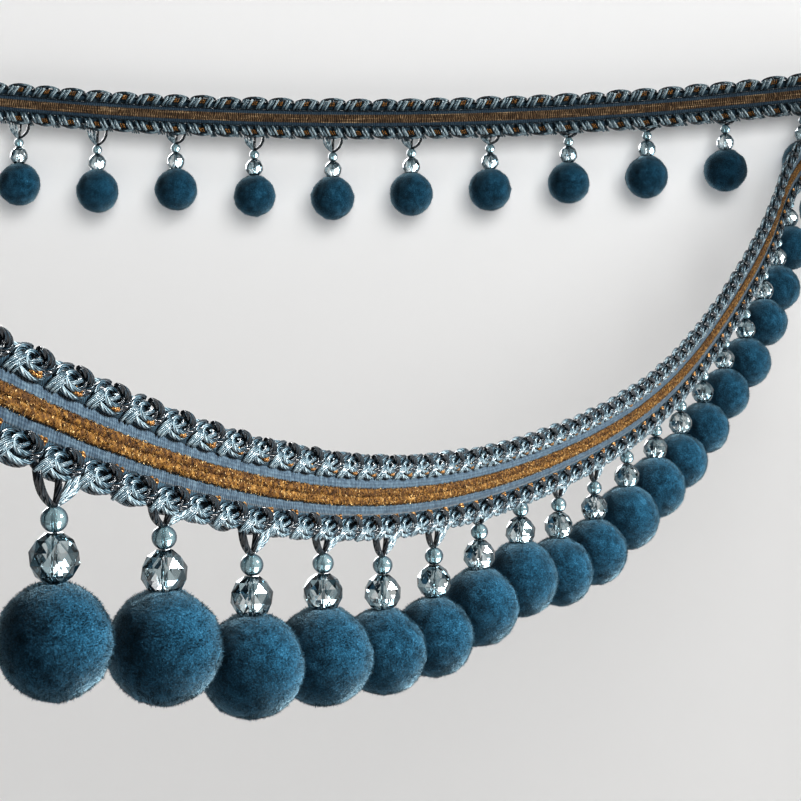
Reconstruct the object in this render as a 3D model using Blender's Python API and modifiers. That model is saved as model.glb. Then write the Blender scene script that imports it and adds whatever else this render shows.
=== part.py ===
"""Pompom fringe trim, 1.485 m long, hung over one point so that it falls in a swag.

The trim is a woven tape with a gold band, a looped gimp along each edge, and a drop every 45 mm:
a cord loop, a round bead, a faceted bead and a pompom. Both runs of the trim meet at a turn.
The long run comes down and forward from the turn as a deep swag, with its patterned face to the right.
The short run goes left from the turn, along a wall, with its patterned face to the wall.

Metres, +Z up, +X right, +Y towards the wall. The origin is on the top edge of the tape, at the turn.
Distances along the trim start at the near end of the swag and finish at the left end of the wall run.
"""

import math

import bmesh
import bpy
import numpy as np
from mathutils import Vector

MM = 0.001
GAP = 0.3 * MM

# The trim's make-up.
DROP_PITCH = 45 * MM
HEADER_WIDTH = 22 * MM
TAPE_WIDTH = 10.4 * MM
TAPE_THICKNESS = 1.2 * MM
BAND_WIDTH = 5.8 * MM
BAND_THICKNESS = 1.0 * MM
BAND_GAP = 0.5 * MM
GIMP_THICKNESS = 3.6 * MM
GIMP_EDGE_THICKNESS = 1.6 * MM
CORD_RADIUS = 1.2 * MM
SMALL_BEAD_DIAMETER = 5.5 * MM
SMALL_BEAD_HEIGHT = 5.2 * MM
FACETED_BEAD_DIAMETER = 10 * MM
FACETED_BEAD_HEIGHT = 10 * MM
POMPOM_DIAMETER = 25 * MM

# Each drop, from the tape's lower edge to the middle of its pompom, in mm. They are tied by hand.
SWAG_DROPS = (
    31, 32, 29, 31.5, 30, 31.5, 31.5, 28, 25.5, 30, 31,
    27.5, 26, 26.5, 25.5, 25, 27.5, 26, 27, 24, 25, 26,
)  # fmt: skip
WALL_DROPS = (28, 28.5, 28.5, 29, 31, 32.5, 34.5, 34, 32, 35.5, 35)
DROP_LENGTHS = [length * MM for length in SWAG_DROPS + WALL_DROPS]
TRIM_LENGTH = DROP_PITCH * len(DROP_LENGTHS)

# Where the middle of the tape hangs along the swag: (across, depth, height) in mm, from near to far.
SWAG_STATIONS = (
    (-377, -933, -135),
    (-314, -796, -182),
    (-256, -637, -204),
    (-202, -485, -201),
    (-149, -350, -182),
    (-100, -222, -144),
    (-55, -107, -88),
    (-28, -47, -52),
)

# The turn is an arc in plan. Each row is a heading, in degrees from +X, and the tape's height in mm.
TURN_RADIUS = 12 * MM
HANGING_HEADING = 150
TURN_STATIONS = ((55, -19), (85, -14), (115, -11.5), (HANGING_HEADING, -11))
WALL_HEADING = 180

# The wall run leaves the turn and sags as a shallow parabola, towards -X.
WALL_START = -0.022
WALL_END = -0.560
WALL_LOWEST = (-0.276, -0.0257)
WALL_SAG_RADIUS = 2.24

# Distance along the trim at which it passes the hanging point.
HANGING_DISTANCE = 0.990

# How finely the solids follow the route.
# Each row is the distance from the hanging point at which a stretch ends, and its longest step.
SECTION_STEPS = ((-0.100, 0.030), (-0.030, 0.007), (0.020, 0.0025), (0.495, 0.030))
CORD_SIDES = 6
POMPOM_SIDES = 10
POMPOM_RINGS = 6

COLLECTION = bpy.data.collections.new("pompom_fringe_trim")
CUTTERS = bpy.data.collections.new("joined_shapes")


def clear_scene():
    for obj in list(bpy.data.objects):
        bpy.data.objects.remove(obj)
    for collection in (COLLECTION, CUTTERS):
        bpy.context.scene.collection.children.link(collection)


def material(name, colour, roughness, metallic=0.0, transmission=0.0):
    made = bpy.data.materials.new(name)
    made.use_nodes = True
    shader = made.node_tree.nodes["Principled BSDF"]
    shader.inputs["Base Color"].default_value = (*colour, 1)
    shader.inputs["Roughness"].default_value = roughness
    shader.inputs["Metallic"].default_value = metallic
    shader.inputs["Transmission Weight"].default_value = transmission
    return made


# --- the route of the trim ---------------------------------------------------------------------


def smooth_curve(points, end_direction, samples):
    """A cubic spline through the points, free at its first end and with a given direction at its last."""
    knots = np.concatenate([[0], np.cumsum(np.linalg.norm(np.diff(points, axis=0), axis=1))])
    spans = np.diff(knots)
    rates = np.diff(points, axis=0) / spans[:, None]
    count = len(points)
    system = np.eye(count)
    bends = np.zeros((count, 3))
    for i in range(1, count - 1):
        system[i, i - 1 : i + 2] = spans[i - 1], 2 * (spans[i - 1] + spans[i]), spans[i]
        bends[i] = 6 * (rates[i] - rates[i - 1])
    system[-1, -2:] = spans[-1], 2 * spans[-1]
    bends[-1] = 6 * (end_direction - rates[-1])
    bends = np.linalg.solve(system, bends)
    at = np.linspace(0, knots[-1], samples)
    i = np.clip(np.searchsorted(knots, at, side="right") - 1, 0, count - 2)
    past, left, span = (at - knots[i])[:, None], (knots[i + 1] - at)[:, None], spans[i][:, None]
    return (
        (bends[i] * left**3 + bends[i + 1] * past**3) / (6 * span)
        + (points[i] / span - bends[i] * span / 6) * left
        + (points[i + 1] / span - bends[i + 1] * span / 6) * past
    )


def turn_point(heading, height):
    """A point of the turn, whose hanging point is above the origin's place in plan."""

    def spoke(degrees):
        return np.array([math.sin(math.radians(degrees)), -math.cos(math.radians(degrees)), 0])

    return TURN_RADIUS * (spoke(heading) - spoke(HANGING_HEADING)) + np.array([0, 0, height])


def wall_point(across):
    lowest_across, lowest_height = WALL_LOWEST
    height = lowest_height + (across - lowest_across) ** 2 / (2 * WALL_SAG_RADIUS)
    return np.array([across, turn_point(WALL_HEADING, 0)[1], height])


class Route:
    """The middle line of the tape, read by distance from the near end of the trim."""

    def __init__(self):
        guides = [np.array(station) * MM for station in SWAG_STATIONS]
        guides += [turn_point(heading, height * MM) for heading, height in TURN_STATIONS]
        guides.append(wall_point(WALL_START))
        wall = np.array([wall_point(x) for x in np.linspace(WALL_START, WALL_END, 1000)])
        leaving = (wall[1] - wall[0]) / np.linalg.norm(wall[1] - wall[0])
        line = np.concatenate([smooth_curve(np.array(guides), leaving, 3000), wall[1:]])
        run = np.concatenate([[0], np.cumsum(np.linalg.norm(np.diff(line, axis=0), axis=1))])
        hanging = run[np.argmin(np.linalg.norm(line[:, :2], axis=1))]
        self.line, self.run = line, run - hanging + HANGING_DISTANCE

    def at(self, distance):
        return Vector([np.interp(distance, self.run, self.line[:, i]) for i in range(3)])

    def along(self, distance):
        return (self.at(distance + MM) - self.at(distance - MM)).normalized()

    def up(self, distance):
        """Across the tape, towards its top edge: as upright as the slope allows."""
        along = self.along(distance)
        return (Vector((0, 0, 1)) - along * along.z).normalized()

    def steps(self):
        """Distances for the solids' sections, close together round the turn."""
        found = [0.0]
        for end, step in SECTION_STEPS:
            stretch = HANGING_DISTANCE + end - found[-1]
            found += list(found[-1] + np.linspace(0, stretch, 1 + math.ceil(stretch / step))[1:])
        return found


# --- strips along the route --------------------------------------------------------------------


def strip(name, route, outline, finish):
    """A solid of one outline, (towards the face, towards the top edge), swept along the route."""
    mesh = bmesh.new()
    rings = []
    for distance in route.steps():
        middle, up = route.at(distance), route.up(distance)
        face = route.along(distance).cross(up)
        rings.append([mesh.verts.new(middle + face * out + up * rise) for out, rise in outline])
    for one, two in zip(rings, rings[1:]):
        for i in range(len(outline)):
            j = (i + 1) % len(outline)
            mesh.faces.new((one[i], one[j], two[j], two[i]))
    mesh.faces.new(rings[0][::-1])
    mesh.faces.new(rings[-1])
    bmesh.ops.recalc_face_normals(mesh, faces=mesh.faces)
    data = bpy.data.meshes.new(name)
    mesh.to_mesh(data)
    mesh.free()
    data.materials.append(finish)
    made = bpy.data.objects.new(name, data)
    COLLECTION.objects.link(made)
    return made


def rectangle(back, front, low, high):
    return [(back, low), (front, low), (front, high), (back, high)]


def gimp_outline(side):
    """Six corners: thick over the looped cords, thin at the header's outer edge."""
    inner = TAPE_WIDTH / 2 + GAP
    outer = HEADER_WIDTH / 2
    full, thin = GIMP_THICKNESS / 2, GIMP_EDGE_THICKNESS / 2
    shoulder = outer - 1.6 * MM
    half = [(full, inner), (full, shoulder), (thin, outer)]
    corners = half + [(-out, rise) for out, rise in reversed(half)]
    return [(out, side * rise) for out, rise in corners]


# --- drops -------------------------------------------------------------------------------------


def turned(name, profile, sides):
    """A solid of revolution: the profile, (radius, height) from top to bottom, turned by a Screw."""
    mesh = bmesh.new()
    points = [mesh.verts.new((radius, 0, height)) for radius, height in profile]
    for one, two in zip(points, points[1:]):
        mesh.edges.new((one, two))
    data = bpy.data.meshes.new(name)
    mesh.to_mesh(data)
    mesh.free()
    made = bpy.data.objects.new(name, data)
    screw = made.modifiers.new("turn", "SCREW")
    screw.steps = screw.render_steps = sides
    screw.use_merge_vertices = True
    screw.merge_threshold = 0.001 * MM
    return made


def drop_profile(cord_length):
    """Cord, round bead and faceted bead in one outline, with the top of the cord at height 0."""
    round_top = -cord_length
    faceted_top = round_top - SMALL_BEAD_HEIGHT
    faceted_bottom = faceted_top - FACETED_BEAD_HEIGHT
    small, large = SMALL_BEAD_DIAMETER / 2, FACETED_BEAD_DIAMETER / 2
    return [
        (0, 0),
        (CORD_RADIUS, 0),
        (CORD_RADIUS, round_top),
        (small, round_top - 0.3 * SMALL_BEAD_HEIGHT),
        (small, round_top - 0.7 * SMALL_BEAD_HEIGHT),
        (0.6 * small, faceted_top),
        (large, faceted_top - 0.3 * FACETED_BEAD_HEIGHT),
        (large, faceted_top - 0.7 * FACETED_BEAD_HEIGHT),
        (0.5 * large, faceted_bottom),
        (0, faceted_bottom),
    ]


def pompom_shape(mesh_name):
    """A ball of pile, flattened at the top where the faceted bead sits in it."""
    mesh = bmesh.new()
    bmesh.ops.create_uvsphere(
        mesh, u_segments=POMPOM_SIDES, v_segments=POMPOM_RINGS, radius=POMPOM_DIAMETER / 2
    )
    mesh.verts.ensure_lookup_table()
    top = max(mesh.verts, key=lambda vertex: vertex.co.z)
    top.co.z = pompom_top()
    data = bpy.data.meshes.new(mesh_name)
    mesh.to_mesh(data)
    mesh.free()
    data.shade_smooth()
    return data


def pompom_top():
    """Height of the seat for the bead, above the pompom's middle."""
    return POMPOM_DIAMETER / 2 * math.cos(math.pi / POMPOM_RINGS)


def hang_drops(route, finish):
    """The pompoms as objects of their own, and the cord and beads of each drop as shapes to join."""
    ball = pompom_shape("pompom")
    ball.materials.append(finish)
    gimp_middle = (TAPE_WIDTH / 2 + GAP + HEADER_WIDTH / 2) / 2
    hardware = SMALL_BEAD_HEIGHT + FACETED_BEAD_HEIGHT + GAP + pompom_top()
    shapes = []
    for number, length in enumerate(DROP_LENGTHS):
        distance = DROP_PITCH * (number + 0.5)
        up = route.up(distance)
        held = route.at(distance) - up * gimp_middle
        edge = route.at(distance) - up * HEADER_WIDTH / 2
        middle = Vector((edge.x, edge.y, edge.z - length))
        pompom = bpy.data.objects.new(f"pompom_{number + 1:02d}", ball)
        pompom.location = middle
        COLLECTION.objects.link(pompom)
        top = max(held.z, middle.z + hardware + MM)
        shape = turned(f"drop_{number + 1:02d}", drop_profile(top - middle.z - hardware), CORD_SIDES)
        shape.location = (edge.x, edge.y, top)
        shapes.append(shape)
    return shapes


def join_to_comb(gimp, shapes):
    """One solid of the lower gimp and everything that hangs from it but the pompoms."""
    for shape in shapes:
        CUTTERS.objects.link(shape)
        shape.hide_render = True
        shape.display_type = "WIRE"
    union = gimp.modifiers.new("join the drops", "BOOLEAN")
    union.operation = "UNION"
    union.operand_type = "COLLECTION"
    union.collection = CUTTERS


def build():
    clear_scene()
    route = Route()
    blue_weave = material("blue_woven_tape", (0.16, 0.27, 0.37), 0.75)
    gold_chenille = material("gold_chenille_band", (0.36, 0.22, 0.10), 0.6, metallic=0.3)
    satin_cord = material("satin_gimp_cord", (0.20, 0.36, 0.47), 0.35)
    beads = material("smoky_teal_beads", (0.22, 0.36, 0.42), 0.1, transmission=0.6)
    pile = material("petrol_blue_pile", (0.035, 0.12, 0.20), 0.95)

    half_tape = TAPE_THICKNESS / 2
    tape = rectangle(-half_tape, half_tape, -TAPE_WIDTH / 2, TAPE_WIDTH / 2)
    strip("header_tape", route, tape, blue_weave)
    band_back = half_tape + BAND_GAP
    band = rectangle(band_back, band_back + BAND_THICKNESS, -BAND_WIDTH / 2, BAND_WIDTH / 2)
    strip("gold_band", route, band, gold_chenille)
    strip("top_gimp", route, gimp_outline(1), satin_cord)
    comb = strip("bottom_gimp_comb", route, gimp_outline(-1), satin_cord)
    comb.data.materials.append(beads)
    join_to_comb(comb, hang_drops(route, pile))


build()
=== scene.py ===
"""Looks of the pompom fringe trim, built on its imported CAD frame, in metres with +Z up.

Everything sewn to the trim is laid out in route coordinates: distance along the trim, out from
the tape's middle towards its decorated face, and up towards its top edge. The pompoms and
beads hang plumb below the trim's lower edge.
"""

import math

import bmesh
import bpy
import numpy as np
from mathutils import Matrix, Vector


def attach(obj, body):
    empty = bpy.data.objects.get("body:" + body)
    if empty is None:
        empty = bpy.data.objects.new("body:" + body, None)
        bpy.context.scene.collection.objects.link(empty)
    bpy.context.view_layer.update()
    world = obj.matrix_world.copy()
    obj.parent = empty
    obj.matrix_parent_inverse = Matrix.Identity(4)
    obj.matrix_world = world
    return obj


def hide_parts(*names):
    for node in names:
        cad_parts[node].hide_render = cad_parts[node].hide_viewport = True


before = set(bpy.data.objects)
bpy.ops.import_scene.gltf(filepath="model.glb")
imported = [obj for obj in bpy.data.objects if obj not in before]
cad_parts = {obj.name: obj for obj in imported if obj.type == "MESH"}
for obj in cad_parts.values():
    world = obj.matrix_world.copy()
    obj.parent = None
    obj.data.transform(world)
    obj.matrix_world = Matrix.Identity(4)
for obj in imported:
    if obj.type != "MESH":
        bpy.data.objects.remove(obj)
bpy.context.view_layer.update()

MM = 0.001

# The route and the drops, as in part.py.
DROP_PITCH = 45 * MM
HEADER_WIDTH = 22 * MM
TAPE_WIDTH = 10.4 * MM
TAPE_THICKNESS = 1.2 * MM
BAND_WIDTH = 5.8 * MM
SMALL_BEAD_DIAMETER = 5.5 * MM
SMALL_BEAD_HEIGHT = 5.2 * MM
FACETED_BEAD_DIAMETER = 10 * MM
FACETED_BEAD_HEIGHT = 10 * MM
POMPOM_DIAMETER = 25 * MM
POMPOM_SEAT = POMPOM_DIAMETER / 2 * math.cos(math.radians(30))
BEAD_GAP = 0.3 * MM
SWAG_DROPS = (31, 32, 29, 31.5, 30, 31.5, 31.5, 28, 25.5, 30, 31,
              27.5, 26, 26.5, 25.5, 25, 27.5, 26, 27, 24, 25, 26)
WALL_DROPS = (28, 28.5, 28.5, 29, 31, 32.5, 34.5, 34, 32, 35.5, 35)
TRIM_LENGTH = DROP_PITCH * (len(SWAG_DROPS) + len(WALL_DROPS))
SWAG_STATIONS = ((-377, -933, -135), (-314, -796, -182), (-256, -637, -204), (-202, -485, -201),
                 (-149, -350, -182), (-100, -222, -144), (-55, -107, -88), (-28, -47, -52))
TURN_RADIUS = 12 * MM
HANGING_HEADING = 150
TURN_STATIONS = ((55, -19), (85, -14), (115, -11.5), (HANGING_HEADING, -11))
WALL_HEADING = 180
WALL_START = -0.022
WALL_END = -0.560
WALL_LOWEST = (-0.276, -0.0257)
WALL_SAG_RADIUS = 2.24
HANGING_DISTANCE = 0.990
ROUTE_SAMPLES = 3000
WALL_SAMPLES = 1000

# How wide each pompom's pile is trimmed, in millimetres, in the order of the drops.
POMPOM_WIDTHS = (25, 23.3, 25.5, 25.2, 25.7, 24.6, 24.4, 25.2, 25.8, 25, 25.5,
                 25.8, 25.2, 24.2, 23.7, 24.2, 25.2, 24.1, 24.7, 24.6, 25, 25,
                 25, 24.6, 24.5, 24.2, 24.4, 24.8, 25, 24.3, 24.6, 24.4, 24.8)

# The gimp: three rosettes to each drop, in a band along each edge of the tape.
ROSETTE_PITCH = DROP_PITCH / 3
ROSETTES = round(TRIM_LENGTH / ROSETTE_PITCH)
ROSETTE_MIDDLE = 8.2 * MM
CORD_EXIT = -8.6 * MM
GROUND_STEP = 1.875 * MM
GROUND_NEAR = 5.0 * MM
GROUND_FAR = 9.2 * MM
GROUND_SCALLOP = 0.8 * MM

# The tape's thread map runs across the face from its middle, and across the back from BACK_MIDDLE,
# in millimetres. The edges of the back's stripe and of the back itself are soft.
TAPE_STEP = 3 * MM
BACK_MIDDLE = 15.0
STRIPE_EDGE = (2.1, 2.6)
BACK_EDGE = (6.0, 6.5)

# The chenille band's two rows, and the short fibres on each.
CHENILLE_STEP = 1.0 * MM
CHENILLE_MIDDLE = BAND_WIDTH * 0.17
CHENILLE_HALF = BAND_WIDTH * 0.22
CHENILLE_THICKNESS = 0.5 * MM
TUFTS = 22000
TUFT = 0.34 * MM

BEAD_HOLE = 0.45 * MM

# A pompom's core and its fibres start at these depths below its outline. The pile swells in a
# collar round the bead, at this angle from the top, in radians.
CORE_DEPTH = 0.40 * MM
CORE_ROUGHNESS = 0.36 * MM
FIBRES = 11000
FIBRE_ROOT = 1.0 * MM
FIBRE_BEND = 0.8 * MM
FIBRE_HALF = 0.15 * MM
COLLAR_ANGLE = 0.34
COLLAR_WIDTH = 0.12

# The backdrop, how strongly its painted glow lights it (the wall, and what the floor adds), and the
# heights between which the wall's painted shade gives way to paler colour and the floor's glow ends.
WALL_PLACE = 0.0165
WALL_TOP = 1.6
FLOOR_HEIGHT = -0.95
FLOOR_FRONT = -3.2
SWEEP_HALF = 2.6
SWEEP_BEND = 0.35
SWEEP_STEPS = 16
WALL_GLOW = 0.20
FLOOR_GLOW = 0.22
WALL_SHADING = (-0.25, 0.08)
FLOOR_GLOW_ENDS = (-0.80, -0.55)

CAMERA_PLACE = (-0.2526, -1.2234, -0.1681)
CAMERA_PITCH = 0.016
CAMERA_LENS = 95.5
SENSOR_WIDTH = 36

UP = np.array([0.0, 0.0, 1.0])


def unit(vectors):
    return vectors / np.linalg.norm(vectors, axis=-1, keepdims=True)


def spoke(heading):
    """A level direction, this many degrees round from -Y towards +X."""
    turn = math.radians(heading)
    return np.array([math.sin(turn), -math.cos(turn), 0.0])


def smooth_curve(points, end_direction, samples):
    """A cubic spline through the points, free at its first end and clamped at its last."""
    knots = np.concatenate([[0], np.cumsum(np.linalg.norm(np.diff(points, axis=0), axis=1))])
    spans = np.diff(knots)
    rates = np.diff(points, axis=0) / spans[:, None]
    count = len(points)
    system = np.eye(count)
    bends = np.zeros((count, 3))
    for i in range(1, count - 1):
        system[i, i - 1 : i + 2] = spans[i - 1], 2 * (spans[i - 1] + spans[i]), spans[i]
        bends[i] = 6 * (rates[i] - rates[i - 1])
    system[-1, -2:] = spans[-1], 2 * spans[-1]
    bends[-1] = 6 * (end_direction - rates[-1])
    bends = np.linalg.solve(system, bends)
    at = np.linspace(0, knots[-1], samples)
    i = np.clip(np.searchsorted(knots, at, side="right") - 1, 0, count - 2)
    past = (at - knots[i])[:, None]
    left = (knots[i + 1] - at)[:, None]
    span = spans[i][:, None]
    return (
        (bends[i] * left**3 + bends[i + 1] * past**3) / (6 * span)
        + (points[i] / span - bends[i] * span / 6) * left
        + (points[i + 1] / span - bends[i + 1] * span / 6) * past
    )


def turn_point(heading, height):
    """A point on the turn from the swag to the wall run. The hanging point is straight above 0, 0."""
    return TURN_RADIUS * (spoke(heading) - spoke(HANGING_HEADING)) + height * UP


def wall_point(across):
    """A point on the wall run, which sags in a shallow parabola."""
    lowest_x, lowest_height = WALL_LOWEST
    height = lowest_height + (across - lowest_x) ** 2 / (2 * WALL_SAG_RADIUS)
    return np.array([across, turn_point(WALL_HEADING, 0)[1], height])


class Route:
    """The middle line of the trim, from its near cut end to its cut end on the wall."""

    def __init__(self):
        turn = [turn_point(heading, height * MM) for heading, height in TURN_STATIONS]
        guides = np.array([*(np.array(SWAG_STATIONS) * MM), *turn, wall_point(WALL_START)])
        wall = np.array([wall_point(x) for x in np.linspace(WALL_START, WALL_END, WALL_SAMPLES)])
        swag = smooth_curve(guides, unit(wall[1] - wall[0]), ROUTE_SAMPLES)
        self.line = np.concatenate([swag, wall[1:]])
        steps = np.linalg.norm(np.diff(self.line, axis=0), axis=1)
        self.run = np.concatenate([[0], np.cumsum(steps)])
        nearest = np.argmin(np.linalg.norm(self.line[:, :2], axis=1))
        self.run += HANGING_DISTANCE - self.run[nearest]

    def at(self, distance):
        return np.stack([np.interp(distance, self.run, self.line[:, i]) for i in range(3)], -1)

    def frame(self, distance):
        """The directions along the trim, out of its face and up its width."""
        along = unit(self.at(distance + MM) - self.at(distance - MM))
        up = unit(UP - along * along[..., 2:])
        return along, np.cross(along, up), up

    def place(self, distance, out, up):
        """Points at these distances, this far out and up, all arrays of one shape."""
        _, face, rise = self.frame(distance)
        return self.at(distance) + face * out[..., None] + rise * up[..., None]


route = Route()


class Surface:
    """Points and faces that become one mesh, with a thread map in millimetres and a tint.

    Pile also gets a nap: the direction that it faces, whichever side of a fibre is seen.
    """

    def __init__(self):
        self.points = []
        self.faces = []
        self.maps = []
        self.tints = []
        self.naps = []
        self.count = 0

    def add(self, points, faces, tints, corner_map=None, nap=None):
        """New points and the faces on them; without a map, their corners all get zeros."""
        if corner_map is None:
            corner_map = np.zeros((faces.size, 2))
        self.points.append(points.reshape(-1, 3))
        self.faces.append(faces + self.count)
        self.maps.append(corner_map.reshape(-1, 2))
        self.tints.append(np.broadcast_to(tints, points.shape[:-1]).reshape(-1))
        if nap is not None:
            self.naps.append(nap.reshape(-1, 3))
        self.count += points[..., 0].size

    def cap(self, faces):
        """Faces on points that are already there."""
        self.faces.append(faces)
        self.maps.append(np.zeros((faces.size, 2)))

    def sheets(self, points, along, across, tints=0.5, ring=False):
        """Grids of points (grids, steps, columns); a ring joins its last column to its first."""
        grids, steps, columns = points.shape[:3]
        index = np.arange(grids * steps * columns).reshape(grids, steps, columns)
        along = np.broadcast_to(along, (grids, steps))
        lines = np.broadcast_to(across, (columns + 1 if ring else columns,))
        if ring:
            index = np.concatenate([index, index[..., :1]], axis=2)
        faces = np.stack(
            [index[:, :-1, :-1], index[:, 1:, :-1], index[:, 1:, 1:], index[:, :-1, 1:]], -1
        ).reshape(-1, 4)
        u = np.broadcast_to(along[..., None], index.shape)
        v = np.broadcast_to(lines, index.shape)
        grid_map = np.stack([u, v], -1)
        corners = np.stack(
            [grid_map[:, :-1, :-1], grid_map[:, 1:, :-1], grid_map[:, 1:, 1:], grid_map[:, :-1, 1:]],
            -2,
        )
        self.add(points, faces, tints, corners)

    def tubes(self, centres, reference, radius, sides, tints):
        """Round cords along rows of centres (cords, steps, 3), with both ends closed."""
        cords, steps = centres.shape[:2]
        tangent = unit(np.gradient(centres, axis=1))
        across = unit(np.cross(tangent, reference))
        lift = np.cross(across, tangent)
        radius = np.broadcast_to(radius, (cords, steps))[..., None, None]
        angle = np.linspace(0, 2 * math.pi, sides, endpoint=False)[:, None]
        ring = across[..., None, :] * np.cos(angle) + lift[..., None, :] * np.sin(angle)
        points = centres[..., None, :] + ring * radius
        length = np.linalg.norm(np.diff(centres, axis=1), axis=-1)
        along = np.concatenate([np.zeros((cords, 1)), np.cumsum(length, axis=1)], axis=1) / MM
        tints = np.broadcast_to(tints, (cords, steps))[..., None]
        start = self.count
        self.sheets(points, along, np.linspace(0, 1, sides + 1), tints, ring=True)
        index = np.arange(cords * steps * sides).reshape(cords, steps, sides) + start
        fan = np.arange(1, sides - 1)
        for end, flip in ((0, False), (steps - 1, True)):
            rim = index[:, end]
            first = np.broadcast_to(rim[:, :1], (cords, sides - 2))
            caps = np.stack([first, rim[:, fan], rim[:, fan + 1]], -1).reshape(-1, 3)
            self.cap(caps[:, ::-1] if flip else caps)

    def build(self, name, material, smooth=True):
        points = np.concatenate(self.points)
        sizes = np.concatenate([np.full(len(f), f.shape[1]) for f in self.faces])
        corners = np.concatenate([f.reshape(-1) for f in self.faces])
        mesh = bpy.data.meshes.new(name)
        mesh.vertices.add(len(points))
        mesh.vertices.foreach_set("co", points.ravel())
        mesh.loops.add(len(corners))
        mesh.loops.foreach_set("vertex_index", corners)
        mesh.polygons.add(len(sizes))
        mesh.polygons.foreach_set("loop_start", np.concatenate([[0], np.cumsum(sizes)[:-1]]))
        mesh.polygons.foreach_set("loop_total", sizes)
        mesh.update(calc_edges=True)
        threads = mesh.uv_layers.new(name="thread_map")
        threads.data.foreach_set("uv", np.concatenate(self.maps).astype(np.float32).ravel())
        tint = mesh.attributes.new("tint", "FLOAT", "POINT")
        tint.data.foreach_set("value", np.concatenate(self.tints).astype(np.float32))
        mesh.materials.append(material)
        if smooth:
            mesh.shade_smooth()
        if self.naps:
            nap = mesh.attributes.new("nap", "FLOAT_VECTOR", "POINT")
            nap.data.foreach_set("vector", np.concatenate(self.naps).astype(np.float32).ravel())
        piece = bpy.data.objects.new(name, mesh)
        bpy.context.scene.collection.objects.link(piece)
        return piece


class Paint:
    """A material's nodes."""

    def __init__(self, name, **constants):
        self.material = bpy.data.materials.new(name)
        self.material.use_nodes = True
        self.tree = self.material.node_tree
        self.shader = self.tree.nodes["Principled BSDF"]
        for socket, value in constants.items():
            self.shader.inputs[socket.replace("_", " ")].default_value = value

    def node(self, kind, inputs=(), **settings):
        made = self.tree.nodes.new(kind)
        for key, value in settings.items():
            setattr(made, key, value)
        for socket, value in dict(inputs).items():
            self.put(made.inputs[socket], value)
        return made

    def put(self, socket, value):
        if isinstance(value, bpy.types.NodeSocket):
            self.tree.links.new(value, socket)
        else:
            socket.default_value = value

    def set(self, socket, value):
        self.put(self.shader.inputs[socket], value)

    def place(self):
        """Where a point of the surface is, in metres."""
        return self.node("ShaderNodeTexCoord").outputs["Object"]

    def thread_map(self):
        """The thread map's two numbers: millimetres along, and its place across."""
        made = self.node("ShaderNodeUVMap", uv_map="thread_map")
        split = self.node("ShaderNodeSeparateXYZ", {"Vector": made.outputs["UV"]})
        return split.outputs["X"], split.outputs["Y"]

    def tint(self):
        return self.node("ShaderNodeAttribute", attribute_name="tint").outputs["Fac"]

    def noise(self, scale, detail, vector=None):
        inputs = {"Vector": vector or self.place(), "Scale": scale, "Detail": detail}
        return self.node("ShaderNodeTexNoise", inputs).outputs["Fac"]

    def math(self, operation, *values):
        made = self.node("ShaderNodeMath", enumerate(values), operation=operation)
        return made.outputs[0]

    def total(self, *terms):
        """The sum of value times weight over (value, weight) pairs; a bare number is added."""
        result = 0.0
        for term in terms:
            if isinstance(term, tuple):
                result = self.math("MULTIPLY_ADD", *term, result)
            else:
                result = self.math("ADD", result, term)
        return result

    def band(self, value, low, high):
        """0 below low and 1 above high, and smooth between."""
        inputs = {"Value": value, "From Min": low, "From Max": high}
        made = self.node("ShaderNodeMapRange", inputs, interpolation_type="SMOOTHSTEP")
        return made.outputs["Result"]

    def wave(self, phase):
        """A ripple from 0 to 1, once for each unit of phase."""
        turned = self.math("SINE", self.math("MULTIPLY", phase, 2 * math.pi))
        return self.math("MULTIPLY_ADD", turned, 0.5, 0.5)

    def ramp(self, value, *stops):
        """Colours at their places between 0 and 1."""
        made = self.node("ShaderNodeValToRGB", {"Fac": value})
        elements = made.color_ramp.elements
        while len(elements) < len(stops):
            elements.new(0.5)
        for element, (place, colour) in zip(elements, stops):
            element.position = place
            element.color = (*colour, 1)
        return made.outputs["Color"]

    def mix(self, share, a, b):
        """Colour a, or colour b where share is 1."""
        inputs = {0: share, 6: self.colour(a), 7: self.colour(b)}
        return self.node("ShaderNodeMix", inputs, data_type="RGBA").outputs[2]

    def colour(self, value):
        return value if isinstance(value, bpy.types.NodeSocket) else (*value, 1)

    def bump(self, height, depth, strength=1.0, **over):
        inputs = {"Height": height, "Distance": depth, "Strength": strength, **over}
        self.set("Normal", self.node("ShaderNodeBump", inputs).outputs["Normal"])


def pile_material():
    """Dense cut pile: soft, with a paler nap towards its outline."""
    paint = Paint("cut_pile", Roughness=0.95, Sheen_Weight=0.85, Sheen_Roughness=0.45,
                  Sheen_Tint=(0.60, 0.85, 0.98, 1))
    paint.set("Specular IOR Level", 0.08)
    clumps = paint.noise(420, 3)
    fine = paint.noise(1400, 2)
    grain = paint.noise(2800, 1)
    # The tint carries each pompom's painted shade: darker in the core, in the hollows and at the fibre
    # roots.
    value = paint.total((clumps, 0.14), (fine, 0.34), (grain, 0.56), (paint.tint(), 0.52), -0.265)
    paint.set("Base Color", paint.ramp(
        value, (0.28, (0.005, 0.032, 0.056)), (0.50, (0.017, 0.092, 0.156)),
        (0.78, (0.068, 0.215, 0.325))))
    nap = paint.node("ShaderNodeAttribute", attribute_name="nap").outputs["Vector"]
    paint.bump(fine, 0.5 * MM, 0.4, Normal=nap)
    return paint.material


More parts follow.
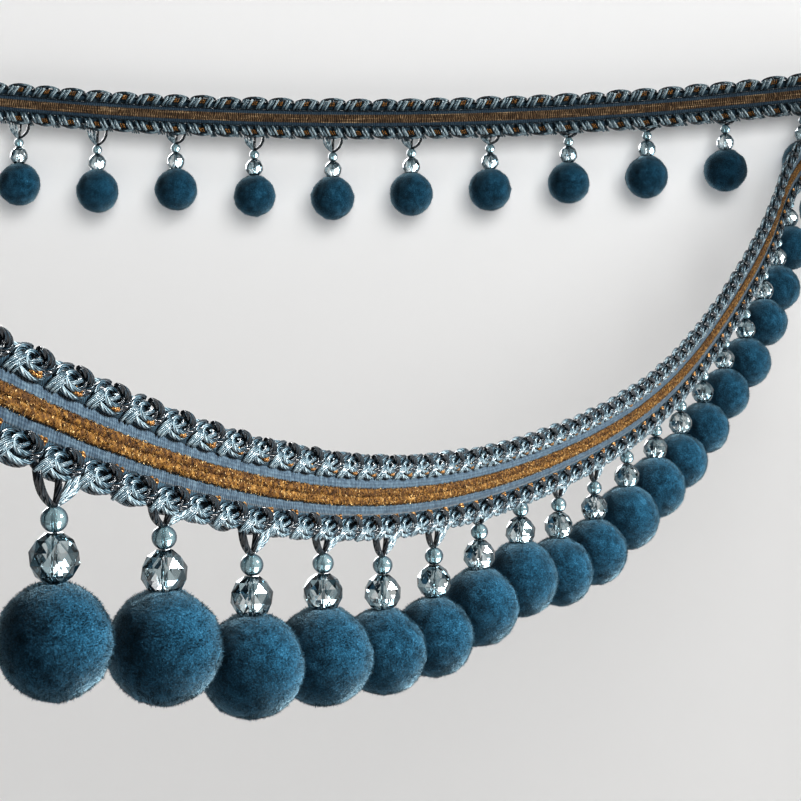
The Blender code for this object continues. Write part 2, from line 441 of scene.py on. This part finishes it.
def satin_material():
    """Satin cord of fine filaments: tint 0 is navy going into painted shade, 0.5 steel blue, and 1 a
    pale painted highlight.
    """
    paint = Paint("satin_cord", Roughness=0.22)
    paint.set("Specular IOR Level", 1.0)
    along, around = paint.thread_map()
    twist = paint.wave(paint.total((along, 0.30), (around, 1.0)))
    filaments = paint.wave(paint.total((along, 0.45), (around, 6.0)))
    value = paint.total(
        (paint.tint(), 1.0), (twist, 0.22), (filaments, 0.36), (paint.noise(900, 2), 0.5), -0.61)
    # The ramp runs from near-black painted shade through the cord's navy and steel blue to a pale
    # painted highlight.
    paint.set("Base Color", paint.ramp(
        value, (0.06, (0.002, 0.005, 0.009)), (0.32, (0.010, 0.032, 0.050)),
        (0.62, (0.058, 0.125, 0.170)), (0.98, (0.44, 0.55, 0.60))))
    paint.bump(paint.total((twist, 0.5), (filaments, 0.6)), 0.35 * MM, 1.0)
    return paint.material


def gold_thread_material():
    """Twisted metallic thread: dark at tint 0, and pale gold at tint 1."""
    paint = Paint("gold_thread", Roughness=0.36, Metallic=0.6)
    along, around = paint.thread_map()
    twist = paint.wave(paint.total((along, 0.9), (around, 1.0)))
    value = paint.total((paint.tint(), 1.0), (twist, 0.5), -0.3)
    paint.set("Base Color", paint.ramp(
        value, (0.05, (0.045, 0.016, 0.004)), (0.45, (0.26, 0.125, 0.035)),
        (0.75, (0.58, 0.33, 0.12)), (1.0, (0.90, 0.68, 0.38))))
    paint.bump(twist, 0.2 * MM)
    return paint.material


def chenille_material():
    """Gold chenille: dark orange brown at tint 0, gold, and pale glints at tint 1."""
    paint = Paint("gold_chenille", Roughness=0.65)
    paint.set("Specular IOR Level", 0.3)
    speckle = paint.noise(1000, 3)
    value = paint.total((paint.tint(), 1.0), (speckle, 1.1), -0.55)
    paint.set("Base Color", paint.ramp(
        value, (0.05, (0.030, 0.011, 0.002)), (0.36, (0.104, 0.047, 0.008)),
        (0.66, (0.235, 0.125, 0.026)), (1.0, (0.56, 0.42, 0.21))))
    paint.bump(speckle, 0.7 * MM, 0.9)
    return paint.material


def tape_material():
    """Ribbed blue weave, with brown ribs and a few pale floats down the middle of the back."""
    paint = Paint("blue_weave", Roughness=0.72, Sheen_Weight=0.2)
    paint.set("Specular IOR Level", 0.3)
    along, across = paint.thread_map()
    uneven = paint.noise(260, 2)
    ribs = paint.wave(paint.total((along, 0.95), (uneven, 0.8)))
    warps = paint.wave(paint.total((across, 1.1), (uneven, 0.5)))
    weave = paint.total((ribs, 0.65), (warps, 0.35))
    blue = paint.ramp(
        paint.total((weave, 0.35), (paint.noise(700, 3), 1.0), -0.15),
        (0.1, (0.010, 0.026, 0.046)), (0.45, (0.030, 0.062, 0.096)), (0.9, (0.120, 0.180, 0.225)))
    back_ribs = paint.wave(paint.total((along, 0.85), (uneven, 2.6)))
    streaks = paint.node("ShaderNodeCombineXYZ", {
        0: paint.math("MULTIPLY", along, 0.05), 1: paint.math("MULTIPLY", across, 0.9)}).outputs[0]
    floats = paint.band(paint.noise(1.0, 2, streaks), 0.56, 0.64)
    brown = paint.ramp(
        paint.total((back_ribs, 0.4), (paint.noise(420, 2), 0.8), (floats, 0.35), -0.2),
        (0.1, (0.022, 0.013, 0.007)), (0.5, (0.120, 0.068, 0.030)), (1.0, (0.50, 0.37, 0.22)))
    from_middle = paint.math("ABSOLUTE", paint.math("SUBTRACT", across, BACK_MIDDLE))
    stripe = paint.math("SUBTRACT", 1.0, paint.band(from_middle, *STRIPE_EDGE))
    back = paint.math("SUBTRACT", 1.0, paint.band(from_middle, *BACK_EDGE))
    shaded = paint.mix(back, blue, paint.mix(0.45, blue, (0.012, 0.040, 0.072)))
    paint.set("Base Color", paint.mix(stripe, shaded, brown))
    paint.bump(paint.total((weave, 0.6), (back_ribs, stripe)), 0.35 * MM, 0.9)
    return paint.material


def ground_material():
    """The dark weave under the gimp's loops."""
    paint = Paint("gimp_ground", Roughness=0.85)
    along, _ = paint.thread_map()
    ribs = paint.wave(paint.math("MULTIPLY", along, 1.3))
    paint.set("Base Color", paint.ramp(
        paint.total((ribs, 0.4), (paint.noise(600, 2), 0.6)),
        (0.2, (0.009, 0.026, 0.042)), (0.6, (0.032, 0.080, 0.118)), (0.9, (0.09, 0.17, 0.23))))
    paint.bump(ribs, 0.3 * MM)
    return paint.material


def crystal_material():
    """Smoky teal cut glass, with painted shade towards its edges and on its facets."""
    paint = Paint("cut_bead", Roughness=0.01, IOR=1.7, Metallic=0.1)
    paint.set("Transmission Weight", 1.0)
    edge = paint.node("ShaderNodeLayerWeight", {"Blend": 0.5}).outputs["Facing"]
    # Painted shade: each facet's own tint, and darkening towards the bead's edges.
    edge_and_facet_shade = paint.total((paint.tint(), 1.0), (paint.band(edge, 0.15, 0.60), 0.95))
    paint.set("Base Color", paint.ramp(
        edge_and_facet_shade, (0.15, (0.95, 0.98, 0.98)), (0.45, (0.46, 0.62, 0.67)), (0.85, (0.035, 0.075, 0.10))))
    return paint.material


def round_bead_material():
    """Milky teal glass, with painted shade darkening its edges."""
    paint = Paint("round_bead", Roughness=0.07, IOR=1.5)
    paint.set("Transmission Weight", 0.72)
    edge = paint.node("ShaderNodeLayerWeight", {"Blend": 0.5}).outputs["Facing"]
    # Painted shade: darker towards the bead's edges, over a milky cloud.
    cloud_and_edge_shade = paint.total((paint.noise(240, 2), 0.5), (paint.band(edge, 0.15, 0.75), 0.8), -0.1)
    paint.set("Base Color", paint.ramp(
        cloud_and_edge_shade, (0.05, (0.52, 0.68, 0.72)), (0.35, (0.24, 0.38, 0.43)), (0.80, (0.02, 0.05, 0.08))))
    return paint.material


def wall_material():
    """A pale wall that glows a little with painted light, and that can be seen through from behind."""
    paint = Paint("pale_wall", Roughness=0.9)
    paint.set("Specular IOR Level", 0.1)
    height = paint.node("ShaderNodeSeparateXYZ", {"Vector": paint.place()}).outputs["Z"]
    # Painted shade and light: the wall is darker low down and paler high up.
    paint.set("Base Color", paint.mix(
        paint.band(height, *WALL_SHADING), (0.63, 0.626, 0.620), (0.80, 0.798, 0.795)))
    paint.set("Emission Color", (0.93, 0.925, 0.92, 1))
    # Painted light: the glow is stronger low down, towards the floor.
    low = paint.math("SUBTRACT", 1.0, paint.band(height, *FLOOR_GLOW_ENDS))
    paint.set("Emission Strength", paint.total((low, FLOOR_GLOW), WALL_GLOW))
    clear = paint.node("ShaderNodeBsdfTransparent").outputs["BSDF"]
    behind = paint.node("ShaderNodeNewGeometry").outputs["Backfacing"]
    shown = paint.node("ShaderNodeMixShader", {0: behind, 1: paint.shader.outputs["BSDF"], 2: clear})
    paint.put(paint.tree.nodes["Material Output"].inputs["Surface"], shown.outputs["Shader"])
    return paint.material


def woven_tape(material):
    """The tape: a flat woven strip with rounded selvedges."""
    surface = Surface()
    steps = int(TRIM_LENGTH / TAPE_STEP)
    distance = np.linspace(0, TRIM_LENGTH, steps)
    half = TAPE_WIDTH / 2
    thick = TAPE_THICKNESS / 2
    across = np.linspace(-1, 1, 9)
    outline_up = np.concatenate([across, across[::-1]]) * half
    edge = 1 - 0.45 * np.abs(across) ** 6
    outline_out = np.concatenate([thick * edge, -thick * edge])
    columns = len(outline_up)
    grid, out, up = np.broadcast_arrays(distance[:, None], outline_out, outline_up)
    width = np.concatenate(
        [across * half / MM, BACK_MIDDLE - across[::-1] * half / MM, [-half / MM]])
    surface.sheets(route.place(grid, out, up)[None], distance / MM, width, ring=True)
    ends = np.arange(columns)
    for rim in (ends, (steps - 1) * columns + ends[::-1]):
        surface.cap(rim[None, ::-1])
    return surface.build("woven_tape", material)


def chenille_band(material):
    """Two rows of chenille side by side, each a knobbly core with short fibres."""
    rng = np.random.default_rng(11)
    surface = Surface()
    steps = int(TRIM_LENGTH / CHENILLE_STEP)
    distance = np.linspace(0, TRIM_LENGTH, steps)
    bed = TAPE_THICKNESS / 2 + 0.6 * CHENILLE_THICKNESS
    sides = 8
    angle = np.linspace(0, 2 * math.pi, sides, endpoint=False)
    grid = np.broadcast_to(distance[:, None], (steps, sides))
    for row, shade in ((1, 0.36), (-1, 0.47)):
        middle = row * CHENILLE_MIDDLE
        bulk = 1 + 0.30 * (rng.random((steps, sides)) - 0.5)
        out = bed + np.sin(angle) * CHENILLE_THICKNESS * bulk
        up = middle + np.cos(angle) * CHENILLE_HALF * bulk
        tints = shade + 0.50 * (rng.random((1, steps, sides)) - 0.5)
        core = route.place(grid, out, up)
        surface.sheets(core[None], distance / MM, np.linspace(0, 1, sides + 1), tints, ring=True)

        root = TUFT + rng.random(TUFTS) * (TRIM_LENGTH - 2 * TUFT)
        lean = math.pi * (0.03 + 0.94 * rng.random(TUFTS))
        above = CHENILLE_THICKNESS + (0.05 + 0.22 * rng.random(TUFTS)) * MM
        beside = CHENILLE_HALF + 0.10 * MM * rng.random(TUFTS)
        spread = unit(rng.normal(size=(3, TUFTS, 3)))
        tuft = spread * TUFT * (0.7 + 0.6 * rng.random((1, TUFTS, 1)))
        corners = []
        for along, outward, upward in np.moveaxis(tuft, 2, 1):
            out = bed + np.sin(lean) * above + 0.6 * outward
            up = middle + np.cos(lean) * beside + upward
            corners.append(route.place(root + along, out, up))
        tone = shade + 1.25 * (rng.random(TUFTS) ** 2.0 - 0.34)
        surface.add(np.stack(corners, 1), np.arange(TUFTS * 3).reshape(-1, 3), tone[:, None])
    return surface.build("chenille_band", material)


def rosette_cord(surface, side, path, radius, tints, spread, reverse=False, sides=5):
    """The same cord in every rosette. path gives millimetres right, up and out of its middle.

    spread is how many millimetres the rosettes differ by, and reverse is for a cord on the back.
    """
    rng = np.random.default_rng(1000 + surface.count)
    middle = (np.arange(ROSETTES) + 0.5) * ROSETTE_PITCH
    right, up, out = np.broadcast_arrays(*path)
    wander = (rng.random((3, ROSETTES, 1)) - 0.5) * spread
    size = 0.96 + 0.10 * rng.random((ROSETTES, 1))
    along = middle[:, None] + (right * size + wander[0]) * MM
    along = np.clip(along, 0.1 * MM, TRIM_LENGTH - 0.1 * MM)
    rise = side * ROSETTE_MIDDLE + (up * size + wander[1]) * MM
    lift = (out + 0.3 * wander[2]) * MM
    centres = route.place(along, lift, rise)
    _, face, _ = route.frame(along)
    shade = tints + 0.12 * (rng.random((ROSETTES, 1)) - 0.5)
    surface.tubes(centres, -face if reverse else face, radius * MM, sides,
                  np.broadcast_to(shade, along.shape))


def oval_arc(start, end, wide, high, steps):
    """Angles in radians and points in millimetres of an arc whose ends are given in degrees."""
    angle = np.radians(np.linspace(start, end, steps))
    return angle, wide * np.cos(angle), high * np.sin(angle)


def face_rosettes(cords, side):
    """The knot of loops that each rosette shows on the decorated face."""
    # The outer loop, with painted highlight on its lower left and painted shade on its upper right.
    steps = 21
    angle, right, up = oval_arc(95, 430, 5.5, 2.75, steps)
    out = 1.1 + 0.5 * np.linspace(0, 1, steps)
    shade = 0.47 + 0.50 * np.cos(angle - math.radians(222))
    rosette_cord(cords, side, (right, up, out), 0.66, shade, 0.4)

    # The inner loop, with painted highlight on its left and painted shade on its right.
    steps = 16
    angle, right, up = oval_arc(70, 385, 3.4, 1.65, steps)
    out = 1.9 + 0.5 * np.linspace(0, 1, steps)
    shade = 0.50 + 0.45 * np.cos(angle - math.radians(200))
    rosette_cord(cords, side, (right - 0.4, up, out), 0.60, shade, 0.4)

    # The strand across the middle, a pale painted highlight at its start that darkens along it.
    t = np.linspace(0, 1, 6)
    arch = np.sin(math.pi * t)
    cross_strand = (-2.4 + 4.0 * t, -0.75 + 1.6 * t, 2.2 + 0.7 * arch)
    rosette_cord(cords, side, cross_strand, 0.52, 0.85 - 0.5 * t, 0.5)

    # The dark knob, which is thickest in its middle; its near-black tint is painted shade.
    steps = 11
    angle, right, up = oval_arc(-62, 100, 4.6, 2.3, steps)
    out = 2.0 + 0.4 * np.sin(angle)
    knob = 1.15 * np.sin(np.linspace(0.35, math.pi - 0.35, steps)) ** 0.6
    shade = 0.12 + 0.10 * np.cos(angle)
    rosette_cord(cords, side, (right + 0.7, up + 0.2, out), knob, shade, 0.3, sides=7)

    # The fanned strands, pale painted highlights that fade along their length.
    for strand in range(4):
        start = -8.4 + 1.05 * strand
        fanned = (start + 3.1 * t, -3.3 + 3.6 * t + 0.5 * arch, 0.8 + 1.3 * np.sin(1.9 * t))
        shade = 0.98 - 0.14 * (strand % 2) - 0.35 * t
        rosette_cord(cords, side, fanned, 0.46, shade, 0.3)


def back_rosettes(cords, side):
    """The flatter floats that show on the reverse."""
    angle, right, up = oval_arc(-15, 195, 6.9, 2.4, 13)
    shade = 0.50 + 0.40 * np.cos(3 * angle)
    rosette_cord(cords, side, (right, side * (up + 0.35), -1.0), 0.75, shade, 0.5, True)

    t = np.linspace(0, 1, 6)
    arch = np.sin(math.pi * t)
    for start, shade in ((-5.4, 1.15), (-3.9, 0.90), (1.6, 1.20), (3.2, 0.80), (4.9, 1.05)):
        slanted = (start + 3.0 * t, side * (1.8 - 4.9 * t), -0.95 - 0.7 * arch)
        rosette_cord(cords, side, slanted, 0.78, shade - 0.3 * t, 0.6, True)
    rosette_cord(cords, side, (-7.5 + 15.0 * t, side * -3.5, -0.8), 0.5, 0.30, 0.2, True)


def gold_loops(gold, side):
    """The gold thread: a glint in each rosette, and a dot between the floats on the reverse."""
    t = np.linspace(0, 1, 6)
    arch = np.sin(math.pi * t)
    if side > 0:
        _, right, up = oval_arc(200, 330, 2.3, 1.3, 6)
        outer = (right + 1.3, up - 1.0, 1.7 + 0.5 * arch)
        inner = (right * 0.6 + 1.5, up * 0.6 - 0.9, 1.9 + 0.4 * arch)
        rosette_cord(gold, side, outer, 0.42, 0.50, 0.5)
        rosette_cord(gold, side, inner, 0.36, 0.75, 0.4)
    else:
        out = 1.1 + 0.7 * np.sin(math.pi * (0.2 + 0.7 * t))
        # Painted shade: the first and last cords are dark, standing for the shaded recess beside the
        # gold.
        for start, shade in ((3.0, 0.15), (4.3, 0.45), (5.5, 0.2)):
            glint = (start + 2.2 * t, 0.9 + 2.2 * t, out)
            rosette_cord(gold, side, glint, 0.55, shade + 0.3 * t, 0.4)
    for start in (-1.3, -0.3, 0.7):
        dot = (start + 1.1 * t, side * (1.1 - 2.4 * t), -1.3 - 0.5 * arch)
        rosette_cord(gold, side, dot, 0.36, 0.45, 0.4, True)


def gimp_ground(ground, side):
    """The scalloped strip of dark weave that carries the loops."""
    steps = int(TRIM_LENGTH / GROUND_STEP) + 1
    distance = np.linspace(0, TRIM_LENGTH, steps)
    far = GROUND_FAR - GROUND_SCALLOP * np.cos(2 * math.pi * distance / ROSETTE_PITCH)
    near = np.full(steps, GROUND_NEAR)
    up = side * np.stack([near, far, far, near], 1)
    out = np.broadcast_to(np.array([0.55, 0.5, -0.5, -0.55]) * MM, up.shape)
    if side > 0:
        up = up[:, ::-1]
        out = out[:, ::-1]
    grid = np.broadcast_to(distance[:, None], up.shape)
    width = np.array([0, 4.3, 5.3, 9.6, 10.6])
    ground.sheets(route.place(grid, out, up)[None], distance / MM, width, ring=True)
    rim = np.arange(4)
    ground.cap(rim[None, ::-1])
    ground.cap((steps - 1) * 4 + rim[None])


def gimp(side, cord_material, thread_material, dark_material, name):
    """A band of looped cord rosettes; side is 1 for the top edge and -1 for the bottom."""
    cords = Surface()
    gold = Surface()
    ground = Surface()
    face_rosettes(cords, side)
    back_rosettes(cords, side)
    gold_loops(gold, side)
    gimp_ground(ground, side)
    return [
        cords.build(name + "_cord", cord_material),
        gold.build(name + "_gold_thread", thread_material),
        ground.build(name + "_ground", dark_material),
    ]


def drop_places():
    """Each drop's distance along the trim, and the middle of its pompom, plumb below the edge."""
    lengths = np.array(SWAG_DROPS + WALL_DROPS) * MM
    distance = (np.arange(len(lengths)) + 0.5) * DROP_PITCH
    edge = route.place(distance, np.zeros_like(distance), np.full_like(distance, -HEADER_WIDTH / 2))
    return distance, edge - UP * lengths[:, None]


drop_distance, drop_middle = drop_places()

# Heights above the middle of a pompom.
FACETED_BOTTOM = POMPOM_SEAT + BEAD_GAP
FACETED_TOP = FACETED_BOTTOM + FACETED_BEAD_HEIGHT
SMALL_TOP = FACETED_TOP + SMALL_BEAD_HEIGHT

# A drop's strands: how many millimetres along the gimp and out of it each starts, its tint, its
# radius in millimetres, and its bow. 1 is straight, and more brings it over the bead sooner.
STRANDS = (
    (-7.6, 0.2, 0.05, 1.00, 3.4),
    (-0.6, 0.9, 0.10, 0.80, 1.5),
    (3.0, 1.3, 1.00, 0.62, 1.6),
    (4.6, 1.6, 0.75, 0.62, 1.9),
    (6.2, 1.2, 1.00, 0.62, 2.3),
    (7.8, 0.4, 0.80, 0.62, 2.8),
)


def drop_loops(cord_material):
    """Each drop's loop of cord, from the gimp to the small bead, and the thread in the beads."""
    rng = np.random.default_rng(31)
    surface = Surface()
    drops = len(drop_distance)
    t = np.linspace(0, 1, 13)[None]
    arch = np.sin(math.pi * t)
    knot = drop_middle + UP * (SMALL_TOP - 0.2 * MM)
    along, face, _ = route.frame(drop_distance)
    level = unit(along * np.array([1, 1, 0]))
    narrowing = np.where(drop_distance > HANGING_DISTANCE, 0.7, 1.0)
    for start, out, shade, radius, bow in STRANDS:
        distance = drop_distance + start * narrowing * MM + (rng.random(drops) - 0.5) * 0.8 * MM
        top = route.place(distance, np.full(drops, out * MM), np.full(drops, CORD_EXIT))
        span = top - knot
        share = 1 - (1 - t) ** bow
        sideways = (span * level).sum(1)[:, None] * (share - t)
        centres = knot[:, None] + span[:, None] * t[..., None] + level[:, None] * sideways[..., None]
        centres = centres + face[:, None] * (0.6 * MM * arch)[..., None]
        reference = np.broadcast_to(face[:, None], centres.shape)
        tints = shade + 0.12 * (rng.random((drops, 1)) - 0.5)
        surface.tubes(centres, reference, radius * MM * (0.72 + 0.28 * arch), 5, tints)
    heights = np.linspace(POMPOM_SEAT - 2 * MM, SMALL_TOP + 0.6 * MM, 5)
    centres = drop_middle[:, None] + UP * heights[:, None]
    reference = np.broadcast_to(np.array([1.0, 0, 0]), centres.shape)
    surface.tubes(centres, reference, 0.2 * MM, 5, 0.9)
    return surface.build("drop_loops", cord_material)


def bead_shape(rings, sides):
    """Corners and faces of a bead with a hole: rings of (height, radius, part of a step turned)."""
    corner = np.arange(sides)
    points = np.array([
        [wide * math.cos(a), wide * math.sin(a), height]
        for height, wide, step in rings for a in (corner + step) * 2 * math.pi / sides])
    faces = []
    for i, (_, _, step) in enumerate(rings):
        next_ring = (i + 1) % len(rings)
        low = i * sides
        high = next_ring * sides
        following = (corner + 1) % sides
        after = rings[next_ring][2]
        if step > after:
            faces += [*zip(low + corner, low + following, high + following)]
            faces += [*zip(low + corner, high + following, high + corner)]
        else:
            faces += [*zip(low + corner, low + following, high + corner)]
            faces += [*zip(low + following, high + following, high + corner)]
    return points, np.array(faces)


def round_beads(material):
    """Small smooth beads, one above each faceted bead."""
    rows = 12
    sides = 18
    radius = SMALL_BEAD_DIAMETER / 2
    height = SMALL_BEAD_HEIGHT / 2
    tilt = math.acos(BEAD_HOLE * 1.3 / radius)
    outer = [(height * math.sin(a) / math.sin(tilt), radius * math.cos(a), 0)
             for a in np.linspace(-tilt, tilt, rows)]
    rings = [*outer, (0.92 * height, BEAD_HOLE, 0), (-0.92 * height, BEAD_HOLE, 0)]
    points, faces = bead_shape(rings, sides)
    surface = Surface()
    for middle in drop_middle:
        surface.add(points + (middle + UP * (FACETED_TOP + height)), faces, 0.5)
    return surface.build("round_beads", material)


# A faceted bead's rings of corners: height and radius as shares of the bead's, and part of a step
# that each is turned.
FACET_CORNERS = 9
FACET_RINGS = ((-1.0, 0.36, 0), (-0.72, 0.74, 0.5), (-0.26, 1.0, 0), (0.26, 1.0, 0.5),
               (0.72, 0.74, 0), (1.0, 0.36, 0.5))


def faceted_beads(material):
    """Cut beads, in which every facet has its own tint: painted reflection, from clear to dark."""
    rng = np.random.default_rng(41)
    surface = Surface()
    radius = FACETED_BEAD_DIAMETER / 2
    height = FACETED_BEAD_HEIGHT / 2
    rings = [(level * height, wide * radius, step) for level, wide, step in FACET_RINGS]
    rings += [(0.94 * height, BEAD_HOLE, 0.5), (-0.94 * height, BEAD_HOLE, 0)]
    for middle in drop_middle:
        spin = rng.random()
        spun = [(level, wide, step + spin) for level, wide, step in rings]
        points, faces = bead_shape(spun, FACET_CORNERS)
        corners = (points + middle + UP * (FACETED_BOTTOM + height))[faces]
        # Painted reflection: each facet gets its own darkness.
        tints = 0.70 * rng.random((len(faces), 1)) ** 1.2
        surface.add(corners, np.arange(faces.size).reshape(-1, 3), tints)
    return surface.build("faceted_beads", material, smooth=False)


def sphere_lumps(directions, rng, lumps, sharpness):
    """Soft lumps and hollows at random places over a sphere, each up to 1 high or deep."""
    middles = unit(rng.normal(size=(lumps, 3)))
    signs = np.where(rng.random(lumps) > 0.5, 1.0, -1.0)
    near = np.exp(sharpness * (directions @ middles.T - 1))
    return (near * signs).sum(1)


def even_directions(count):
    """Evenly spread directions on a spiral round the sphere."""
    i = np.arange(count) + 0.5
    height = 1 - 2 * i / count
    turn = i * math.pi * (3 - math.sqrt(5))
    level = np.sqrt(1 - height**2)
    return np.stack([level * np.cos(turn), level * np.sin(turn), height], -1)


def ball_core():
    """A finely divided ball's corner directions and its faces."""
    work = bmesh.new()
    bmesh.ops.create_icosphere(work, subdivisions=4, radius=1)
    directions = np.array([v.co[:] for v in work.verts])
    faces = np.array([[v.index for v in f.verts] for f in work.faces])
    work.free()
    return unit(directions), faces


CORE_DIRECTIONS, CORE_FACES = ball_core()


def pompom_outline(number, radius, directions):
    """How far this pompom's pile reaches in these directions, and how much of it is small lumps."""
    rng = np.random.default_rng(500 + number)
    broad = sphere_lumps(directions, rng, 14, 6)
    small = sphere_lumps(directions, rng, 260, 160)
    from_top = np.arccos(np.clip(directions[:, 2], -1, 1))
    collar = np.exp(-(((from_top - COLLAR_ANGLE) / COLLAR_WIDTH) ** 2))
    return radius * (1 + 0.016 * broad + 0.015 * small + 0.022 * collar), small


def pompom(number, middle, width, material):
    """A ball of cut pile: a lumpy core, and a pointed sliver for each fibre."""
    rng = np.random.default_rng(100 + number)
    radius = width / 2 * MM
    spin = np.linalg.qr(rng.normal(size=(3, 3)))[0]
    surface = Surface()

    directions = CORE_DIRECTIONS @ spin
    reach, small = pompom_outline(number, radius, directions)
    rough = rng.random(len(directions)) - 0.5
    points = directions * (reach - CORE_DEPTH + CORE_ROUGHNESS * rough)[:, None]
    # Painted shade: the core is darker than the fibres, and darker where it dips and in the small
    # hollows.
    tints = 0.30 + 0.22 * rough + 0.12 * small
    surface.add(middle + points, CORE_FACES, tints, nap=directions)

    directions = even_directions(FIBRES) @ spin
    reach, small = pompom_outline(number, radius, directions)
    lean = unit(directions + 0.24 * rng.normal(size=(FIBRES, 3)))
    stray = 0.26 * rng.random(FIBRES) + 0.55 * rng.random(FIBRES) ** 10
    tip = directions * (reach - FIBRE_BEND)[:, None] + lean * (0.70 + stray)[:, None] * MM
    root = directions * (reach - FIBRE_ROOT)[:, None]
    side = unit(np.cross(lean, rng.normal(size=(FIBRES, 3)))) * FIBRE_HALF
    corners = np.stack([root - side, root + side, tip], 1)
    # Painted shade: each fibre is darker at its root than at its tip, and darker in the small hollows.
    tone = 0.44 + 0.6 * (rng.random(FIBRES) - 0.5) + 0.16 * small
    tones = tone[:, None] + np.array([-0.20, -0.20, 0.16])
    soft = unit(directions + 0.16 * rng.normal(size=(FIBRES, 3)))
    nap = np.broadcast_to(soft[:, None], corners.shape)
    surface.add(middle + corners, np.arange(FIBRES * 3).reshape(-1, 3), tones, nap=nap)
    return surface.build(f"pompom_pile_{number:02d}", material)


def backdrop(material):
    """A wall just behind the trim that curves forward into the floor."""
    profile = [(WALL_PLACE, WALL_TOP)]
    for step in range(SWEEP_STEPS + 1):
        turned = math.radians(90 * step / SWEEP_STEPS)
        profile.append((WALL_PLACE - SWEEP_BEND + SWEEP_BEND * math.cos(turned),
                        FLOOR_HEIGHT + SWEEP_BEND - SWEEP_BEND * math.sin(turned)))
    profile.append((FLOOR_FRONT, FLOOR_HEIGHT))
    surface = Surface()
    points = np.array([[(x, y, z) for x in (-SWEEP_HALF, SWEEP_HALF)] for y, z in profile])
    surface.sheets(points[None], np.arange(len(profile)), np.array([0, 1]))
    made = surface.build("studio_sweep", material)
    return made


def area_light(name, place, target, size, power, spread, colour=(1, 1, 1)):
    """A square light; its size is in metres and its spread in degrees."""
    data = bpy.data.lights.new(name, "AREA")
    data.shape = "SQUARE"
    data.size = size
    data.energy = power
    data.spread = math.radians(spread)
    data.color = colour
    light = bpy.data.objects.new(name, data)
    bpy.context.scene.collection.objects.link(light)
    light.location = place
    aim = Vector(target) - Vector(place)
    light.rotation_euler = aim.to_track_quat("-Z", "Y").to_euler()
    light.visible_camera = False
    return light


def stage_link(light, use, wall, state):
    """Sets what the light shines on (receiver), or what casts its shadows (blocker).

    EXCLUDE is everything but the wall, and INCLUDE is the wall alone.
    """
    chosen = bpy.data.collections.new(f"{light.name}_{use}")
    chosen.objects.link(wall)
    chosen.collection_objects[0].light_linking.link_state = state
    setattr(light.light_linking, use + "_collection", chosen)


def surroundings():
    """A dim world that the camera sees as pale grey."""
    world = bpy.data.worlds.new("studio")
    bpy.context.scene.world = world
    world.use_nodes = True
    nodes = world.node_tree.nodes
    links = world.node_tree.links
    dim = nodes["Background"]
    dim.inputs["Color"].default_value = (0.86, 0.90, 0.95, 1)
    dim.inputs["Strength"].default_value = 0.05
    seen = nodes.new("ShaderNodeBackground")
    seen.inputs["Color"].default_value = (0.78, 0.78, 0.775, 1)
    chosen = nodes.new("ShaderNodeMixShader")
    path = nodes.new("ShaderNodeLightPath")
    links.new(path.outputs["Is Camera Ray"], chosen.inputs[0])
    links.new(dim.outputs[0], chosen.inputs[1])
    links.new(seen.outputs[0], chosen.inputs[2])
    links.new(chosen.outputs[0], nodes["World Output"].inputs["Surface"])


def studio(wall):
    """Soft lights: a key from the right, a high fill, a wash for the wall alone, and one behind it."""
    surroundings()
    key = area_light("key", (1.0, -1.05, 0.45), (-0.27, -0.60, -0.25), 0.6, 11.0, 70,
                     (1.0, 0.985, 0.96))
    stage_link(key, "receiver", wall, "EXCLUDE")
    area_light("high_front", (0.9, -1.9, 1.3), (-0.2, -0.1, -0.1), 1.3, 1.5, 140)
    wash = area_light("wall_wash", (0.22, -1.8, 0.45), (-0.12, 0.0, -0.25), 1.2, 22.5, 160)
    stage_link(wash, "receiver", wall, "INCLUDE")
    behind = area_light("behind", (-1.0, 1.3, 0.45), (-0.25, -0.3, -0.1), 1.0, 14.0, 110)
    stage_link(behind, "blocker", wall, "EXCLUDE")
    bpy.context.scene.view_settings.view_transform = "Standard"
    bpy.context.scene.view_settings.gamma = 0.8


def camera():
    """A long lens in front of the trim, tipped down a little."""
    data = bpy.data.cameras.new("camera")
    data.lens = CAMERA_LENS
    data.sensor_width = SENSOR_WIDTH
    data.clip_start = 0.02
    made = bpy.data.objects.new("camera", data)
    bpy.context.scene.collection.objects.link(made)
    made.location = CAMERA_PLACE
    made.rotation_euler = (math.pi / 2 - CAMERA_PITCH, 0, 0)
    bpy.context.scene.camera = made


def dress(piece, slot, *nodes):
    """The piece rides on the root and replaces the CAD nodes; slot is not used."""
    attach(piece, "root")
    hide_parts(*nodes)


camera()
studio(backdrop(wall_material()))
satin = satin_material()
thread = gold_thread_material()
ground = ground_material()

tape = woven_tape(tape_material())
dress(tape, "blue_weave", "header_tape")
band = chenille_band(chenille_material())
dress(band, "gold_chenille", "gold_band")
trimmings = [band]
for side, name, node in ((1, "top_gimp", "top_gimp"), (-1, "bottom_gimp", "bottom_gimp_comb")):
    for piece in gimp(side, satin, thread, ground, name):
        dress(piece, "gold_chenille" if "gold" in piece.name else "satin_cord", node)
        trimmings.append(piece)
loops = drop_loops(satin)
dress(loops, "satin_cord", "bottom_gimp_comb")
small_beads = round_beads(round_bead_material())
dress(small_beads, "clear_bead", "bottom_gimp_comb")
cut_beads = faceted_beads(crystal_material())
dress(cut_beads, "clear_bead", "bottom_gimp_comb")
trimmings += [loops, small_beads, cut_beads]
pile = pile_material()
for number, middle in enumerate(drop_middle, start=1):
    ball = pompom(number, middle, POMPOM_WIDTHS[number - 1], pile)
    dress(ball, "pompom_pile", f"pompom_{number:02d}")
    trimmings.append(ball)
